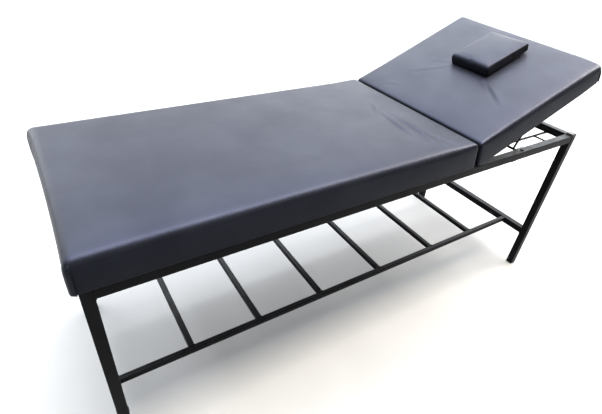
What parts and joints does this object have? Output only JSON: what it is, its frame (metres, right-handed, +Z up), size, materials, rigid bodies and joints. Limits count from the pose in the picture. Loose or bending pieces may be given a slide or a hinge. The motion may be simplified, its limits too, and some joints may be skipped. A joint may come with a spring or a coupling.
{
  "type": "massage table",
  "caption": "Massage table on a welded square-tube frame with a slatted shelf, vinyl-covered pads, a hinged backrest on a prop stay and a small head pillow.",
  "frame": {"origin": "on the floor, under the middle of the table's plan box with the backrest as stored", "axes": "+X along the table towards the head end, +Y across it towards the far side, +Z up"},
  "size_m": [1.813, 0.636, 0.9856],
  "materials": {
    "frame_paint": "black satin enamel sprayed over welded steel tube",
    "vinyl": "black upholstery vinyl with a fine grain and a broad soft sheen",
    "foam": "open-cell upholstery foam",
    "plywood": "raw plywood",
    "plug_plastic": "black moulded plastic",
    "bumper_rubber": "black rubber",
    "strip_fabric": "black grip tape",
    "fastener_steel": "zinc-plated steel"
  },
  "bodies": {
    "frame": {"foot_plug_foot_far": "plug_plastic", "foot_plug_foot_near": "plug_plastic", "foot_plug_head_far": "plug_plastic", "foot_plug_head_near": "plug_plastic", "hinge_bolts": "fastener_steel", "hinge_crossbar": "frame_paint", "hinge_lug_far": "frame_paint", "hinge_lug_near": "frame_paint", "hinge_nuts": "fastener_steel", "leg_cap_far": "plug_plastic", "leg_cap_near": "plug_plastic", "leg_foot_far": "frame_paint", "leg_foot_near": "frame_paint", "leg_head_far": "frame_paint", "leg_head_near": "frame_paint", "low_crossbar_foot": "frame_paint", "low_crossbar_head": "frame_paint", "main_board": "plywood", "main_board_screws": "fastener_steel", "main_cover": "vinyl", "main_foam": "foam", "rail_bumpers": "bumper_rubber", "rest_bar_far": "frame_paint", "rest_bar_near": "frame_paint", "rest_rung_far": "frame_paint", "rest_rung_near": "frame_paint", "shelf_rail_far": "frame_paint", "shelf_rail_near": "frame_paint", "shelf_slat_1": "frame_paint", "shelf_slat_2": "frame_paint", "shelf_slat_3": "frame_paint", "shelf_slat_4": "frame_paint", "shelf_slat_5": "frame_paint", "shelf_slat_6": "frame_paint", "side_rail_far": "frame_paint", "side_rail_near": "frame_paint", "stay_bracket_far": "frame_paint", "stay_bracket_near": "frame_paint", "stay_bracket_screws": "fastener_steel", "top_crossbar_foot": "frame_paint", "top_crossbar_head": "frame_paint"},
    "backrest": {"back_board": "plywood", "back_cover": "vinyl", "back_foam": "foam", "hinge_bracket_near": "frame_paint", "hinge_bracket_far": "frame_paint", "hinge_bracket_screws": "fastener_steel", "slot_rack_near": "frame_paint", "slot_rack_far": "frame_paint", "rack_screws": "fastener_steel", "pillow_cover": "vinyl", "pillow_foam": "foam", "pillow_strips": "strip_fabric"},
    "stay": {"stay_pivot_rod": "frame_paint", "stay_top_rod": "frame_paint", "stay_arm_near": "frame_paint", "stay_arm_far": "frame_paint"}
  },
  "joints": [
    {"name": "backrest_hinge", "type": "hinge", "parent": "frame", "child": "backrest", "pos_m": [0.3325, 0, 0.665], "axis": [0, -1, 0], "range_deg": [-20.4, 7]},
    {"name": "stay_pivot", "type": "hinge", "parent": "frame", "child": "stay", "pos_m": [0.5745, 0, 0.665], "axis": [0, -1, 0], "range_deg": [-40.8, 14]}
  ],
  "couplings": [
    {"joint": "stay_pivot", "follows": "backrest_hinge", "ratio": 2}
  ]
}
